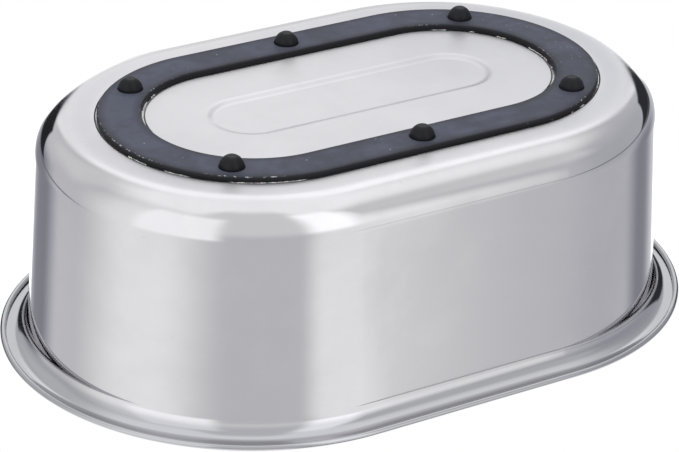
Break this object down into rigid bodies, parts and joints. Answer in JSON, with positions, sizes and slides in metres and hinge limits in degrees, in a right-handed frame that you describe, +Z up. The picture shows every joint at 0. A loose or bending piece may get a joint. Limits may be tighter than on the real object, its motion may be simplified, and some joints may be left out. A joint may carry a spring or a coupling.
{
  "type": "pedicure foot bath",
  "caption": "Oval stainless steel foot basin with a rolled rim, standing on a bonded rubber ring with domed non-slip feet.",
  "frame": {"origin": "middle of the basin in plan, on the surface that the feet stand on", "axes": "+X along the basin's length, +Y across it, +Z up out of its mouth"},
  "size_m": [0.4, 0.273, 0.1371],
  "materials": {
    "polished_steel": "stainless sheet, mirror polished, with the fine lines of handling inside",
    "ring_rubber": "moulded black rubber, matt, slightly bloomed",
    "foot_rubber": "moulded black rubber, satin",
    "adhesive": "pale translucent contact adhesive"
  },
  "bodies": {
    "root": {"basin_shell": "polished_steel", "anti_slip_ring": "ring_rubber", "ring_adhesive": "adhesive", "foot_left_back": "foot_rubber", "foot_middle_back": "foot_rubber", "foot_right_back": "foot_rubber", "foot_right_front": "foot_rubber", "foot_middle_front": "foot_rubber", "foot_left_front": "foot_rubber"}
  },
  "joints": []
}
